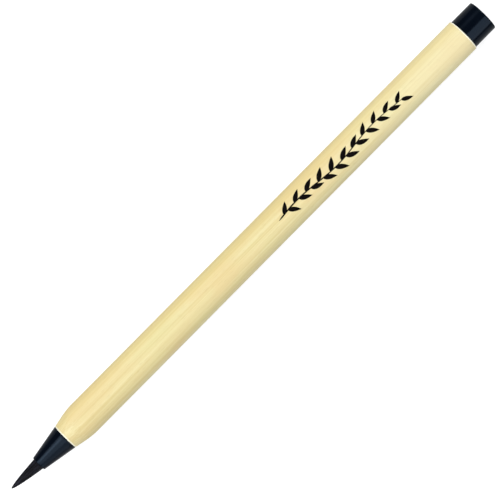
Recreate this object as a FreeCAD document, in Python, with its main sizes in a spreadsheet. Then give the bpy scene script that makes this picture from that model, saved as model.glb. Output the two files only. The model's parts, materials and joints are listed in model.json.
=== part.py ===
import FreeCAD, Part
import math
import os
import Sketcher

# A brush pen lying on a desk, in millimetres. Its axis runs along X with the brush at -X. The origin is
# on the desk, under the middle of the pen's length. Every piece is turned about the pen's axis, so each
# is a half section (distance along the pen, radius) revolved one full turn.

doc = FreeCAD.newDocument("brush_pen")

# ---------------------------------------------------------------------------------------------------
# The driving sizes, each with its own cell and alias.
# ---------------------------------------------------------------------------------------------------

SIZES = (
    ("barrel_length", 152.1, "wooden barrel, end face to end face"),
    ("barrel_diameter", 10.0, "wooden barrel, outside"),
    ("barrel_front_diameter", 7.86, "front end of the barrel's taper, and the back of the cone"),
    ("barrel_taper_length", 5.4, "front end to the corner of the taper, before that is blended"),
    ("barrel_shoulder_radius", 21.0, "blend between the taper and the straight barrel"),
    ("barrel_bore", 6.2, "hole right through the barrel"),
    ("barrel_edge_round", 0.25, "outer edge of both ends of the barrel"),
    ("cone_length", 10.16, "mouth of the cone to the barrel"),
    ("cone_mouth_wall", 0.38, "wall of the cone at its mouth"),
    ("cone_lip_round", 0.3, "outer edge of the cone's mouth"),
    ("cone_seat_reach", 3.6, "barrel's front end forward to the seat of the brush flange"),
    ("cone_spigot_length", 6.0, "spigot of the cone inside the barrel"),
    ("plug_length", 7.5, "head of the tail plug, outside the barrel"),
    ("plug_step", 0.3, "step down from the barrel to the head of the plug"),
    ("plug_edge_round", 0.4, "edge of the plug's end"),
    ("plug_spigot_length", 9.0, "spigot of the tail plug inside the barrel"),
    ("plug_wall", 1.1, "wall of the plug's hollow spigot"),
    ("plug_end_wall", 1.5, "end wall of the tail plug"),
    ("glue_groove_width", 1.2, "ring of glue round each spigot"),
    ("glue_groove_depth", 0.15, "ring of glue round each spigot"),
    ("push_fit_gap", 0.02, "radial gap of a piece pushed into another"),
    ("loose_fit_gap", 0.05, "radial gap of the liner in the barrel"),
    ("brush_length", 9.84, "mouth of the cone to the point of the brush"),
    ("brush_diameter", 3.52, "bundle of filaments at its root"),
    ("point_diameter", 0.3, "very point of the brush"),
    ("point_fullness", 0.54, "power of the distance from the point that gives the brush's radius"),
    ("first_bend", 2.0, "mouth of the cone to the first bend"),
    ("second_bend", 3.8, "mouth of the cone to the second bend"),
    ("third_bend", 6.1, "mouth of the cone to the third bend"),
    ("fourth_bend", 7.4, "mouth of the cone to the fourth bend"),
    ("bend_gap", 0.1, "gap between two bands of the brush, and the least length of a band's neck"),
    ("flange_lip", 0.55, "fused root of the brush, beyond the filaments"),
    ("flange_thickness", 0.8, "fused root of the brush"),
    ("collar_length", 3.5, "collar that holds the fused root on its seat"),
    ("collar_wall", 0.9, "collar's wall"),
    ("wick_diameter", 1.6, "feed wick"),
    ("wick_front_reach", 2.0, "wick inside the filaments"),
    ("wick_rear_reach", 8.0, "wick inside the ink fibre"),
    ("holder_flange", 1.0, "flange of the wick holder, between the cone and the liner"),
    ("holder_tail_length", 1.5, "tail of the wick holder, up to the ink fibre"),
    ("holder_tail_wall", 0.5, "tail of the wick holder"),
    ("vent_width", 0.8, "air vents along the wick holder"),
    ("vent_depth", 0.4, "air vents along the wick holder"),
    ("liner_wall", 0.5, "liner tube"),
    ("rib_height", 0.15, "ribs inside the liner, which keep an air path along the film"),
    ("rib_width", 0.6, "ribs inside the liner"),
    ("film_thickness", 0.06, "film round the ink fibre"),
    ("stopper_flange", 1.0, "flange of the liner's stopper"),
    ("stopper_nose_length", 5.0, "stopper inside the liner"),
    ("tail_space", 6.0, "free space between the stopper and the tail plug"),
)

sheet = doc.addObject("Spreadsheet::Sheet", "Sizes")
for row, (alias, value, meaning) in enumerate(SIZES, start=1):
    sheet.set(f"A{row}", meaning)
    sheet.set(f"B{row}", str(value))
    sheet.setAlias(f"B{row}", alias)
doc.recompute()

# ---------------------------------------------------------------------------------------------------
# Radii and places that follow from the sizes. Places along the pen are in the row's frame.
# ---------------------------------------------------------------------------------------------------

places = doc.addObject("App::VarSet", "Places")


def place(name, expression):
    """Keep a radius or a place that follows from the sizes, under a name of its own."""
    places.addProperty("App::PropertyFloat", name)
    places.setExpression(name, expression)
    doc.recompute()


place("overall", "Sizes.brush_length + Sizes.cone_length + Sizes.barrel_length + Sizes.plug_length")
place("mouth", "Sizes.brush_length - Places.overall / 2")
place("barrel_front", "Places.mouth + Sizes.cone_length")
place("barrel_rear", "Places.barrel_front + Sizes.barrel_length")
place("flange_front", "Places.barrel_front - Sizes.cone_seat_reach")
place("collar_front", "Places.flange_front + Sizes.flange_thickness")
place("holder_front", "Places.collar_front + Sizes.collar_length")
place("spigot_end", "Places.barrel_front + Sizes.cone_spigot_length")
place("liner_front", "Places.spigot_end + Sizes.holder_flange")
place("fibre_front", "Places.liner_front + Sizes.holder_tail_length")
place("plug_front", "Places.barrel_rear - Sizes.plug_spigot_length")
place("liner_rear", "Places.plug_front - Sizes.tail_space - Sizes.stopper_flange")
place("fibre_rear", "Places.liner_rear - Sizes.stopper_nose_length")
place("wick_front", "Places.flange_front - Sizes.wick_front_reach")

place("barrel_radius", "Sizes.barrel_diameter / 2")
place("front_radius", "Sizes.barrel_front_diameter / 2")
place("bore_radius", "Sizes.barrel_bore / 2")
place("taper_slope", "(Places.barrel_radius - Places.front_radius) / Sizes.barrel_taper_length")
place("taper_slant", "sqrt(1 + Places.taper_slope ^ 2)")
place("shoulder_reach", "Sizes.barrel_shoulder_radius * (Places.taper_slant - 1) / Places.taper_slope")
place("taper_end", "Sizes.barrel_taper_length - Places.shoulder_reach / Places.taper_slant")
place("taper_end_radius", "Places.front_radius + Places.taper_end * Places.taper_slope")
place("straight_start", "Sizes.barrel_taper_length + Places.shoulder_reach")
place("spigot_radius", "Places.bore_radius - Sizes.push_fit_gap")
place("groove_radius", "Places.spigot_radius - Sizes.glue_groove_depth")
place("plug_radius", "Places.barrel_radius - Sizes.plug_step")
place("brush_radius", "Sizes.brush_diameter / 2")
place("point_radius", "Sizes.point_diameter / 2")
place("mouth_bore_radius", "Places.brush_radius + Sizes.push_fit_gap")
place("mouth_radius", "Places.mouth_bore_radius + Sizes.cone_mouth_wall")
place("flange_radius", "Places.brush_radius + Sizes.flange_lip")
place("seat_bore_radius", "Places.flange_radius + Sizes.push_fit_gap")
place("wick_radius", "Sizes.wick_diameter / 2")
place("wick_hole_radius", "Places.wick_radius + Sizes.push_fit_gap")
place("liner_radius", "Places.bore_radius - Sizes.loose_fit_gap")
place("liner_bore_radius", "Places.liner_radius - Sizes.liner_wall")
place("film_radius", "Places.liner_bore_radius - Sizes.rib_height - Sizes.push_fit_gap")
place("fibre_radius", "Places.film_radius - Sizes.film_thickness")

AXIS_HEIGHT = "Places.barrel_radius"

# The brush is one flexible bundle. It is held at its root and bends at four places in turn, up and down
# at the first and third, from side to side at the second and fourth. At each bend the band in front has
# a round back, centred on the bend, and the band behind stops a gap short of it.

BENDS = ("first", "second", "third", "fourth")

for bend, bend_behind in zip(BENDS, (None,) + BENDS):
    reach = f"Sizes.{bend}_bend"
    reach_behind = f"Sizes.{bend_behind}_bend" if bend_behind else "0"
    share_left = f"(Sizes.brush_length - {reach}) / Sizes.brush_length"
    natural_radius = f"Places.brush_radius * ({share_left}) ^ Sizes.point_fullness"
    room = f"{reach} - {reach_behind} - 2 * Sizes.bend_gap"
    place(f"{bend}_radius", f"min({natural_radius}; {room})")
    place(f"{bend}_stop", f"{reach} - Places.{bend}_radius - Sizes.bend_gap")


# ---------------------------------------------------------------------------------------------------
# How a piece is made
# ---------------------------------------------------------------------------------------------------


def new_body(label, station):
    """A body whose own origin is on the pen's axis, at a station along the pen."""
    body = doc.addObject("PartDesign::Body", label)
    body.setExpression("Placement.Base.x", station)
    body.setExpression("Placement.Base.z", AXIS_HEIGHT)
    return body


def origin_feature(body, role):
    """One of the body's own planes or axes."""
    return next(feature for feature in body.Origin.OriginFeatures if feature.Role == role)


def new_sketch(body, name, plane):
    """A sketch on one of the body's own planes."""
    sketch = body.newObject("Sketcher::SketchObject", name)
    sketch.AttachmentSupport = [(origin_feature(body, plane), "")]
    sketch.MapMode = "FlatFace"
    return sketch


def point_of(first, second):
    """A sketch point whose two coordinates are given as expressions."""
    return FreeCAD.Vector(float(sheet.evalExpression(first)), float(sheet.evalExpression(second)))


def arc_between(here, there, radius):
    """A clockwise arc from one point to another."""
    chord = there - here
    to_centre = FreeCAD.Vector(chord.y, -chord.x, 0).normalize()
    centre = (here + there) / 2 + to_centre * math.sqrt(radius**2 - (chord.Length / 2) ** 2)
    circle = Part.Circle(centre, FreeCAD.Vector(0, 0, 1), radius)
    return Part.ArcOfCircle(circle, circle.parameter(there), circle.parameter(here))


def bind(sketch, name, value, kind, *geometry):
    """Fix one size of a sketch to an expression."""
    datum = float(sheet.evalExpression(value))
    number = sketch.addConstraint(Sketcher.Constraint(kind, *geometry, datum))
    sketch.renameConstraint(number, name)
    sketch.setExpression(f"Constraints.{name}", value)


def draw_outline(sketch, corners):
    """A closed outline through the corners. A corner is a pair of expressions. A third expression makes
    the side that leaves the corner a clockwise arc of that radius."""
    points = [point_of(corner[0], corner[1]) for corner in corners]
    following = points[1:] + points[:1]
    start_of_line, end_of_line = 1, 2
    starts = []
    ends = []
    for side, corner in enumerate(corners):
        if len(corner) == 3:
            radius = float(sheet.evalExpression(corner[2]))
            sketch.addGeometry(arc_between(points[side], following[side], radius))
            starts.append(end_of_line)
            ends.append(start_of_line)
        else:
            sketch.addGeometry(Part.LineSegment(points[side], following[side]))
            starts.append(start_of_line)
            ends.append(end_of_line)
    for side, corner in enumerate(corners):
        next_side = (side + 1) % len(corners)
        joint = Sketcher.Constraint("Coincident", side, ends[side], next_side, starts[next_side])
        sketch.addConstraint(joint)
        bind(sketch, f"first_{side}", corner[0], "DistanceX", -1, 1, side, starts[side])
        bind(sketch, f"second_{side}", corner[1], "DistanceY", -1, 1, side, starts[side])
        if len(corner) == 3:
            bind(sketch, f"arc_{side}", corner[2], "Radius", side)


def turned(label, station, corners):
    """A piece turned about the pen's axis from its half section."""
    body = new_body(label, station)
    section = new_sketch(body, f"{label}_section", "XZ_Plane")
    draw_outline(section, corners)
    turning = body.newObject("PartDesign::Revolution", f"{label}_turning")
    turning.Profile = section
    turning.ReferenceAxis = (section, ["H_Axis"])
    turning.Angle = 360
    body.Tip = turning
    doc.recompute()
    return body


def ring_edges(feature, along, radius):
    """Names of a feature's circular edges at a place along it and of a radius, both expressions."""
    wanted = point_of(along, radius)
    names = []
    for number, edge in enumerate(feature.Shape.Edges, start=1):
        if not isinstance(edge.Curve, Part.Circle):
            continue
        centre = edge.Curve.Center
        if abs(centre.x - wanted.x) < 1e-6 and abs(edge.Curve.Radius - wanted.y) < 1e-6:
            names.append(f"Edge{number}")
    if not names:
        raise RuntimeError(f"{feature.Label} has no edge at {along}, {radius}")
    return names


def round_edge(body, name, along, radius, size):
    """Round one ring edge of a body."""
    sharp = body.Tip
    fillet = body.newObject("PartDesign::Fillet", f"{body.Label}_{name}")
    fillet.Base = (sharp, ring_edges(sharp, along, radius))
    fillet.setExpression("Radius", size)
    body.Tip = fillet
    doc.recompute()


def ring_pattern(body, name, feature, count):
    """Repeat a feature evenly round the pen's axis."""
    pattern = body.newObject("PartDesign::PolarPattern", f"{body.Label}_{name}")
    pattern.Originals = [feature]
    pattern.Axis = (origin_feature(body, "X_Axis"), [""])
    pattern.Angle = 360
    pattern.Occurrences = count
    body.Tip = pattern
    doc.recompute()


# ---------------------------------------------------------------------------------------------------
# The pieces that show: barrel, front cone and tail plug
# ---------------------------------------------------------------------------------------------------


def make_barrel():
    """A turned wooden tube, tapered at its front end."""
    body = turned(
        "barrel",
        "Places.barrel_front",
        (
            ("0", "Places.bore_radius"),
            ("0", "Places.front_radius"),
            ("Places.taper_end", "Places.taper_end_radius", "Sizes.barrel_shoulder_radius"),
            ("Places.straight_start", "Places.barrel_radius"),
            ("Sizes.barrel_length", "Places.barrel_radius"),
            ("Sizes.barrel_length", "Places.bore_radius"),
        ),
    )
    front_wall = "(Places.front_radius - Places.bore_radius)"
    edge_round = f"min(Sizes.barrel_edge_round; {front_wall} / 2)"
    round_edge(body, "front_edge", "0", "Places.front_radius", edge_round)
    round_edge(body, "rear_edge", "Sizes.barrel_length", "Places.barrel_radius", edge_round)


def make_front_cone():
    """A moulded cone that holds the brush, glued into the barrel by its spigot."""
    groove_front = "(Sizes.cone_spigot_length - Sizes.glue_groove_width) / 2"
    groove_rear = "(Sizes.cone_spigot_length + Sizes.glue_groove_width) / 2"
    body = turned(
        "front_cone",
        "Places.barrel_front",
        (
            ("-Sizes.cone_length", "Places.mouth_bore_radius"),
            ("-Sizes.cone_length", "Places.mouth_radius"),
            ("0", "Places.front_radius"),
            ("0", "Places.spigot_radius"),
            (groove_front, "Places.spigot_radius"),
            (groove_front, "Places.groove_radius"),
            (groove_rear, "Places.groove_radius"),
            (groove_rear, "Places.spigot_radius"),
            ("Sizes.cone_spigot_length", "Places.spigot_radius"),
            ("Sizes.cone_spigot_length", "Places.seat_bore_radius"),
            ("-Sizes.cone_seat_reach", "Places.seat_bore_radius"),
            ("-Sizes.cone_seat_reach", "Places.mouth_bore_radius"),
        ),
    )
    lip_round = "min(Sizes.cone_lip_round; 0.8 * Sizes.cone_mouth_wall)"
    round_edge(body, "lip", "-Sizes.cone_length", "Places.mouth_radius", lip_round)


def make_tail_plug():
    """A moulded plug that closes the back of the barrel, hollow from the inside."""
    groove_front = "-(Sizes.plug_spigot_length + Sizes.glue_groove_width) / 2"
    groove_rear = "-(Sizes.plug_spigot_length - Sizes.glue_groove_width) / 2"
    body = turned(
        "tail_plug",
        "Places.barrel_rear",
        (
            ("-Sizes.plug_spigot_length", "Places.spigot_radius - Sizes.plug_wall"),
            ("-Sizes.plug_spigot_length", "Places.spigot_radius"),
            (groove_front, "Places.spigot_radius"),
            (groove_front, "Places.groove_radius"),
            (groove_rear, "Places.groove_radius"),
            (groove_rear, "Places.spigot_radius"),
            ("0", "Places.spigot_radius"),
            ("0", "Places.plug_radius"),
            ("Sizes.plug_length", "Places.plug_radius"),
            ("Sizes.plug_length", "0"),
            ("Sizes.plug_length - Sizes.plug_end_wall", "0"),
            ("Sizes.plug_length - Sizes.plug_end_wall", "Places.spigot_radius - Sizes.plug_wall"),
        ),
    )
    round_edge(
        body, "end_edge", "Sizes.plug_length", "Places.plug_radius", "Sizes.plug_edge_round"
    )


# ---------------------------------------------------------------------------------------------------
# The brush
# ---------------------------------------------------------------------------------------------------


def make_bristle_root():
    """The part of the filaments that the cone holds, with a blind hole for the wick."""
    held_length = "Sizes.cone_length - Sizes.cone_seat_reach"
    hole_end = f"{held_length} - Sizes.wick_front_reach"
    turned(
        "bristle_root",
        "Places.mouth",
        (
            ("-Places.first_stop", "0"),
            ("-Places.first_stop", "Places.brush_radius"),
            (held_length, "Places.brush_radius"),
            (held_length, "Places.wick_hole_radius"),
            (hole_end, "Places.wick_hole_radius"),
            (hole_end, "0"),
        ),
    )


def make_bristle_flange():
    """The filaments' ends, fused into a solid disc that seats inside the cone."""
    turned(
        "bristle_flange",
        "Places.flange_front",
        (
            ("0", "Places.wick_hole_radius"),
            ("0", "Places.flange_radius"),
            ("Sizes.flange_thickness", "Places.flange_radius"),
            ("Sizes.flange_thickness", "Places.wick_hole_radius"),
        ),
    )


def make_bristle_band(label, bend, bend_in_front):
    """A band of the brush from one bend to the next, or to the point. Its own origin is the bend."""
    reach = f"Sizes.{bend}_bend"
    back_radius = f"Places.{bend}_radius"
    if bend_in_front:
        front = f"Places.{bend_in_front}_stop"
        share_left = f"(Sizes.brush_length - {front}) / Sizes.brush_length"
        natural_radius = f"Places.brush_radius * ({share_left}) ^ Sizes.point_fullness"
        front_radius = f"min({back_radius}; {natural_radius})"
    else:
        front = "Sizes.brush_length"
        front_radius = "Places.point_radius"
    turned(
        label,
        f"Places.mouth - {reach}",
        (
            (back_radius, "0"),
            (f"{reach} - {front}", "0"),
            (f"{reach} - {front}", front_radius),
            ("0", back_radius, back_radius),
        ),
    )


def make_brush():
    """The held root, its fused end and the four bands that bend."""
    make_bristle_root()
    make_bristle_flange()
    labels = ("bristle_belly", "bristle_waist", "bristle_taper", "bristle_point")
    for label, bend, bend_in_front in zip(labels, BENDS, BENDS[1:] + (None,)):
        make_bristle_band(label, bend, bend_in_front)


# ---------------------------------------------------------------------------------------------------
# The ink feed inside the barrel
# ---------------------------------------------------------------------------------------------------


def make_brush_collar():
    """A tube that presses the fused root against its seat."""
    turned(
        "brush_collar",
        "Places.collar_front",
        (
            ("0", "Places.flange_radius - Sizes.collar_wall"),
            ("0", "Places.flange_radius"),
            ("Sizes.collar_length", "Places.flange_radius"),
            ("Sizes.collar_length", "Places.flange_radius - Sizes.collar_wall"),
        ),
    )


def make_feed_wick():
    """A rod of bonded fibre that brings ink from the reservoir to the filaments."""
    length = "Places.fibre_front + Sizes.wick_rear_reach - Places.wick_front"
    turned(
        "feed_wick",
        "Places.wick_front",
        (
            ("0", "0"),
            ("0", "Places.wick_radius"),
            (length, "Places.wick_radius"),
            (length, "0"),
        ),
    )


def make_wick_holder():
    """A flanged sleeve that centres the wick, with three air vents along it."""
    nose = "Places.holder_front - Places.spigot_end"
    tail_end = "Sizes.holder_flange + Sizes.holder_tail_length"
    tail_radius = "Places.wick_hole_radius + Sizes.holder_tail_wall"
    body = turned(
        "wick_holder",
        "Places.spigot_end",
        (
            (nose, "Places.wick_hole_radius"),
            (nose, "Places.flange_radius"),
            ("0", "Places.flange_radius"),
            ("0", "Places.liner_radius"),
            ("Sizes.holder_flange", "Places.liner_radius"),
            ("Sizes.holder_flange", tail_radius),
            (tail_end, tail_radius),
            (tail_end, "Places.wick_hole_radius"),
        ),
    )
    vent = new_sketch(body, "wick_holder_vent_outline", "YZ_Plane")
    vent_floor = "Places.flange_radius - Sizes.vent_depth"
    vent_top = "Places.flange_radius + Sizes.push_fit_gap"
    draw_outline(
        vent,
        (
            (vent_floor, "-Sizes.vent_width / 2"),
            (vent_top, "-Sizes.vent_width / 2"),
            (vent_top, "Sizes.vent_width / 2"),
            (vent_floor, "Sizes.vent_width / 2"),
        ),
    )
    uncut_volume = body.Tip.Shape.Volume
    cut = body.newObject("PartDesign::Pocket", "wick_holder_vent")
    cut.Profile = vent
    cut.Type = "ThroughAll"
    cut.Midplane = True
    body.Tip = cut
    doc.recompute()
    ring_pattern(body, "vents", cut, 3)
    if body.Shape.Volume >= uncut_volume:
        raise RuntimeError("the wick holder's vents cut nothing")


def make_liner_tube():
    """The inner tube that holds the ink fibre, with four low ribs along its bore."""
    length = "Places.liner_rear - Places.liner_front"
    body = turned(
        "liner_tube",
        "Places.liner_front",
        (
            ("0", "Places.liner_bore_radius"),
            ("0", "Places.liner_radius"),
            (length, "Places.liner_radius"),
            (length, "Places.liner_bore_radius"),
        ),
    )
    rib = new_sketch(body, "liner_tube_rib_outline", "YZ_Plane")
    rib_top = "Places.liner_bore_radius - Sizes.rib_height"
    rib_foot = "Places.liner_bore_radius + Sizes.liner_wall / 2"
    draw_outline(
        rib,
        (
            (rib_top, "-Sizes.rib_width / 2"),
            (rib_foot, "-Sizes.rib_width / 2"),
            (rib_foot, "Sizes.rib_width / 2"),
            (rib_top, "Sizes.rib_width / 2"),
        ),
    )
    pad = body.newObject("PartDesign::Pad", "liner_tube_rib")
    pad.Profile = rib
    pad.setExpression("Length", "Places.fibre_rear - Places.liner_front")
    body.Tip = pad
    doc.recompute()
    ring_pattern(body, "ribs", pad, 4)


def make_reservoir():
    """A rod of ink fibre with a blind hole for the wick, in a thin film."""
    length = "Places.fibre_rear - Places.fibre_front"
    turned(
        "reservoir_fibre",
        "Places.fibre_front",
        (
            ("0", "Places.wick_hole_radius"),
            ("0", "Places.fibre_radius"),
            (length, "Places.fibre_radius"),
            (length, "0"),
            ("Sizes.wick_rear_reach", "0"),
            ("Sizes.wick_rear_reach", "Places.wick_hole_radius"),
        ),
    )
    turned(
        "reservoir_film",
        "Places.fibre_front",
        (
            ("0", "Places.fibre_radius"),
            ("0", "Places.film_radius"),
            (length, "Places.film_radius"),
            (length, "Places.fibre_radius"),
        ),
    )


def make_liner_stopper():
    """A stopper that closes the back of the liner and keeps the ink fibre in place."""
    nose_radius = "Places.liner_bore_radius - Sizes.push_fit_gap"
    turned(
        "liner_stopper",
        "Places.liner_rear",
        (
            ("-Sizes.stopper_nose_length", "0"),
            ("-Sizes.stopper_nose_length", nose_radius),
            ("0", nose_radius),
            ("0", "Places.liner_radius"),
            ("Sizes.stopper_flange", "Places.liner_radius"),
            ("Sizes.stopper_flange", "0"),
        ),
    )


make_barrel()
make_front_cone()
make_tail_plug()
make_brush()
make_brush_collar()
make_feed_wick()
make_wick_holder()
make_liner_tube()
make_reservoir()
make_liner_stopper()

# ---------------------------------------------------------------------------------------------------
# Check every object, then write one file for each piece
# ---------------------------------------------------------------------------------------------------

doc.recompute()
for item in doc.Objects:
    if "Invalid" in item.State or "Error" in item.State:
        raise RuntimeError(f"{item.Label} failed: {item.State}")

pieces = [item for item in doc.Objects if item.TypeId == "PartDesign::Body"]
for piece in pieces:
    if piece.Shape.isNull() or not piece.Shape.isValid() or len(piece.Shape.Solids) != 1:
        raise RuntimeError(f"{piece.Label} isn't one valid solid")

os.makedirs("parts", exist_ok=True)
for piece in pieces:
    piece.Shape.exportStep(f"parts/{piece.Label}.step")
    print(piece.Label, round(piece.Shape.Volume, 3))
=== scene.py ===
"""Visual model of an uncapped brush pen: pale turned barrel, black nose and tail, inked brush.

The pen lies along X with the brush at -X. Lengths are in metres.
"""

import json
import math

import bmesh
import bpy
from mathutils import Matrix, Vector


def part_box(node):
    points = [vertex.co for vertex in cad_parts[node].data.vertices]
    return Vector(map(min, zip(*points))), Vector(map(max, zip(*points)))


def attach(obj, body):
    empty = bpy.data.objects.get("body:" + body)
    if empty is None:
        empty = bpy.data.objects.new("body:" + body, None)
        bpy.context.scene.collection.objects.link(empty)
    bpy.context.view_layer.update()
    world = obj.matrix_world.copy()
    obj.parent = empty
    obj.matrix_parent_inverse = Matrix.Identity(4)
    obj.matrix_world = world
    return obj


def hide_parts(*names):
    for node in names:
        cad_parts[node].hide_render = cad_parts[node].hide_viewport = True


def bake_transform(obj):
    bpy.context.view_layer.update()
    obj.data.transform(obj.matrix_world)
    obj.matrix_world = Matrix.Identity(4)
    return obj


bl_info = {
    "name": "Brush Pen Maker",
    "version": (1, 0, 0),
    "blender": (4, 5, 0),
    "location": "View3D > Sidebar > Brush Pen",
    "description": "Makes the visible pieces of a brush pen around its packed frame",
    "category": "Add Mesh",
}

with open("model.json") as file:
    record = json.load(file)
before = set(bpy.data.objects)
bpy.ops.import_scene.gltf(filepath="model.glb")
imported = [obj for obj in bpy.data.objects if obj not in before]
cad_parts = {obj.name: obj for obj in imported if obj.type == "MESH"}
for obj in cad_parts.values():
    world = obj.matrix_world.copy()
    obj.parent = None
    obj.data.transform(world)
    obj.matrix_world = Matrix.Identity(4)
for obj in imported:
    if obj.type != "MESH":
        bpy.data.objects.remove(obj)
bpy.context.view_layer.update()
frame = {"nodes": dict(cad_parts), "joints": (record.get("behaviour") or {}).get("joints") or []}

# ---------------------------------------------------------------------------------------------------
# Places that come from the frame
# ---------------------------------------------------------------------------------------------------


def node_span(node):
    """Where a turned node starts and ends along the pen, and its largest radius."""
    low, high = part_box(node)
    return low.x, high.x, (high.z - low.z) / 2


BARREL_FRONT, BARREL_REAR, BARREL_RADIUS = node_span("barrel")
MOUTH, SPIGOT_END, NOSE_RADIUS = node_span("front_cone")
PLUG_START, PLUG_END, PLUG_RADIUS = node_span("tail_plug")
SEAT, _, FLANGE_RADIUS = node_span("bristle_flange")
BUNDLE_RADIUS = node_span("bristle_root")[2]
LINER_RADIUS = node_span("liner_tube")[2]
BRUSH_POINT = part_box("bristle_point")[0].x
BRUSH_LENGTH = MOUTH - BRUSH_POINT
AXIS_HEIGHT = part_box("tail_plug")[0].z + PLUG_RADIUS
PUSH_FIT_GAP = 0.00002
LOOSE_FIT_GAP = 0.00005
BORE_RADIUS = LINER_RADIUS + LOOSE_FIT_GAP
SPIGOT_RADIUS = BORE_RADIUS - PUSH_FIT_GAP
MOUTH_BORE_RADIUS = BUNDLE_RADIUS + PUSH_FIT_GAP
SEAT_BORE_RADIUS = FLANGE_RADIUS + PUSH_FIT_GAP
BENDS = [joint["pos_m"][0] for joint in frame["joints"]]


# ---------------------------------------------------------------------------------------------------
# Sizes and colours that a user may change
# ---------------------------------------------------------------------------------------------------


def length_setting(name, description, default):
    """A length with its unit, for a property group."""
    return bpy.props.FloatProperty(
        name=name, description=description, default=default, min=0, unit="LENGTH", precision=5
    )


def colour_setting(name, description, default):
    """A linear colour, for a property group."""
    return bpy.props.FloatVectorProperty(
        name=name, description=description, default=default, min=0, max=1, subtype="COLOR"
    )


class PenBarrelSettings(bpy.types.PropertyGroup):
    """The wooden barrel."""

    taper_length: length_setting("Taper length", "Front end to the corner of the taper", 0.0054)
    shoulder_radius: length_setting("Shoulder radius", "Blend from the taper to the barrel", 0.021)
    edge_round: length_setting("Edge round", "Round on the outer edge of both ends", 0.00025)
    light_wood: colour_setting("Light wood", "Between the grain lines", (0.752, 0.658, 0.362))
    dark_wood: colour_setting("Dark wood", "Along the grain lines", (0.655, 0.535, 0.245))
    sides: bpy.props.IntProperty(name="Sides", description="Round the barrel", default=160, min=24)


class PenNoseSettings(bpy.types.PropertyGroup):
    """The moulded front cone and tail plug."""

    mouth_wall: length_setting("Mouth wall", "Wall of the cone at its mouth", 0.00038)
    lip_round: length_setting("Lip round", "Outer edge of the cone's mouth", 0.0003)
    back_round: length_setting("Back round", "Back edge of the cone", 0.0002)
    end_round: length_setting("End round", "Edge of the plug's end", 0.0003)
    plug_wall: length_setting("Plug wall", "Wall of the plug's hollow spigot", 0.0011)
    plug_end_wall: length_setting("Plug end wall", "End wall of the plug", 0.0015)
    gate_radius: length_setting("Gate mark radius", "Moulding mark on the plug's end", 0.0006)
    gate_depth: length_setting("Gate mark depth", "Moulding mark on the plug's end", 0.00006)
    black: colour_setting("Black", "Moulded black plastic", (0.0008, 0.0018, 0.0045))
    sides: bpy.props.IntProperty(name="Sides", description="Round each piece", default=128, min=24)


class PenBrushSettings(bpy.types.PropertyGroup):
    """The bundle of filaments."""

    filaments: bpy.props.IntProperty(
        name="Filaments", description="Filaments that show round the bundle", default=190, min=20
    )
    sides: bpy.props.IntProperty(name="Sides", description="Round each filament", default=5, min=3)
    fullness: bpy.props.FloatProperty(
        name="Fullness",
        description="Power of the distance from the point that gives the radius",
        default=0.58,
        min=0.3,
        max=1,
    )
    thickness: bpy.props.FloatProperty(
        name="Filament share",
        description="A filament's radius as a share of the bundle's",
        default=0.026,
        min=0.005,
        max=0.1,
    )
    core_share: bpy.props.FloatProperty(
        name="Core share", description="The packed core's share of the radius", default=0.95, max=1
    )
    point_radius: length_setting("Point radius", "Very point of the brush", 0.00003)
    lean: length_setting("Lean", "How far the point stands to one side", 0.00048)
    seed: bpy.props.IntProperty(name="Seed", description="Places of the filaments", default=7)
    ink: colour_setting("Ink", "Inked filaments", (0.0012, 0.0011, 0.002))


class PenSpraySettings(bpy.types.PropertyGroup):
    """The leaf spray printed on the barrel."""

    start: length_setting("Start", "Point of the brush to the start of the stem", 0.1015)
    length: length_setting("Length", "Length of the stem", 0.046)
    sway: length_setting("Sway", "How far the stem swings to each side", 0.00055)
    pairs: bpy.props.IntProperty(name="Pairs", description="Pairs of leaves", default=11, min=1)
    ink: colour_setting("Ink", "Printing ink", (0.002, 0.0012, 0.0012))
    film: length_setting("Film", "How far the ink stands above the wood", 0.000012)
    leaf_length: length_setting("Leaf length", "Longest leaf", 0.0042)
    leaf_width: length_setting("Leaf width", "Widest leaf", 0.00145)
    stem_width: length_setting("Stem width", "Widest part of the stem", 0.00042)


class PenStageSettings(bpy.types.PropertyGroup):
    """Floor, lights and camera."""

    floor_size: length_setting("Floor size", "Side of the floor", 6.0)
    camera_distance: length_setting("Camera distance", "Lens to the pen", 0.895)
    camera_lens: bpy.props.FloatProperty(name="Lens", description="In millimetres", default=239.8)
    turn: bpy.props.FloatProperty(
        name="Turn",
        description="Turn of the pen in the picture",
        default=math.radians(45.27),
        subtype="ANGLE",
    )
    tilt: bpy.props.FloatProperty(
        name="Tilt",
        description="How far the view leans towards the brush",
        default=math.radians(0.6),
        subtype="ANGLE",
    )


# ---------------------------------------------------------------------------------------------------
# Mesh tools
# ---------------------------------------------------------------------------------------------------


def new_piece(name, mesh):
    """Put a finished mesh in the scene as a piece of the pen."""
    piece = bpy.data.objects.new(name, mesh)
    bpy.context.scene.collection.objects.link(piece)
    return piece


def rounded(before, corner, after, radius, steps=5):
    """Points of a round that replaces one corner of an outline."""
    corner = Vector(corner)
    to_before = (Vector(before) - corner).normalized()
    to_after = (Vector(after) - corner).normalized()
    half_angle = to_before.angle(to_after) / 2
    reach = radius / math.tan(half_angle)
    centre = corner + (to_before + to_after).normalized() * (radius / math.sin(half_angle))
    start = corner + to_before * reach - centre
    sweep = start.angle_signed(corner + to_after * reach - centre)
    points = []
    for step in range(steps + 1):
        angle = sweep * step / steps
        turned = Vector(
            (
                start.x * math.cos(angle) + start.y * math.sin(angle),
                start.y * math.cos(angle) - start.x * math.sin(angle),
            )
        )
        points.append(tuple(centre + turned))
    return points


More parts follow.
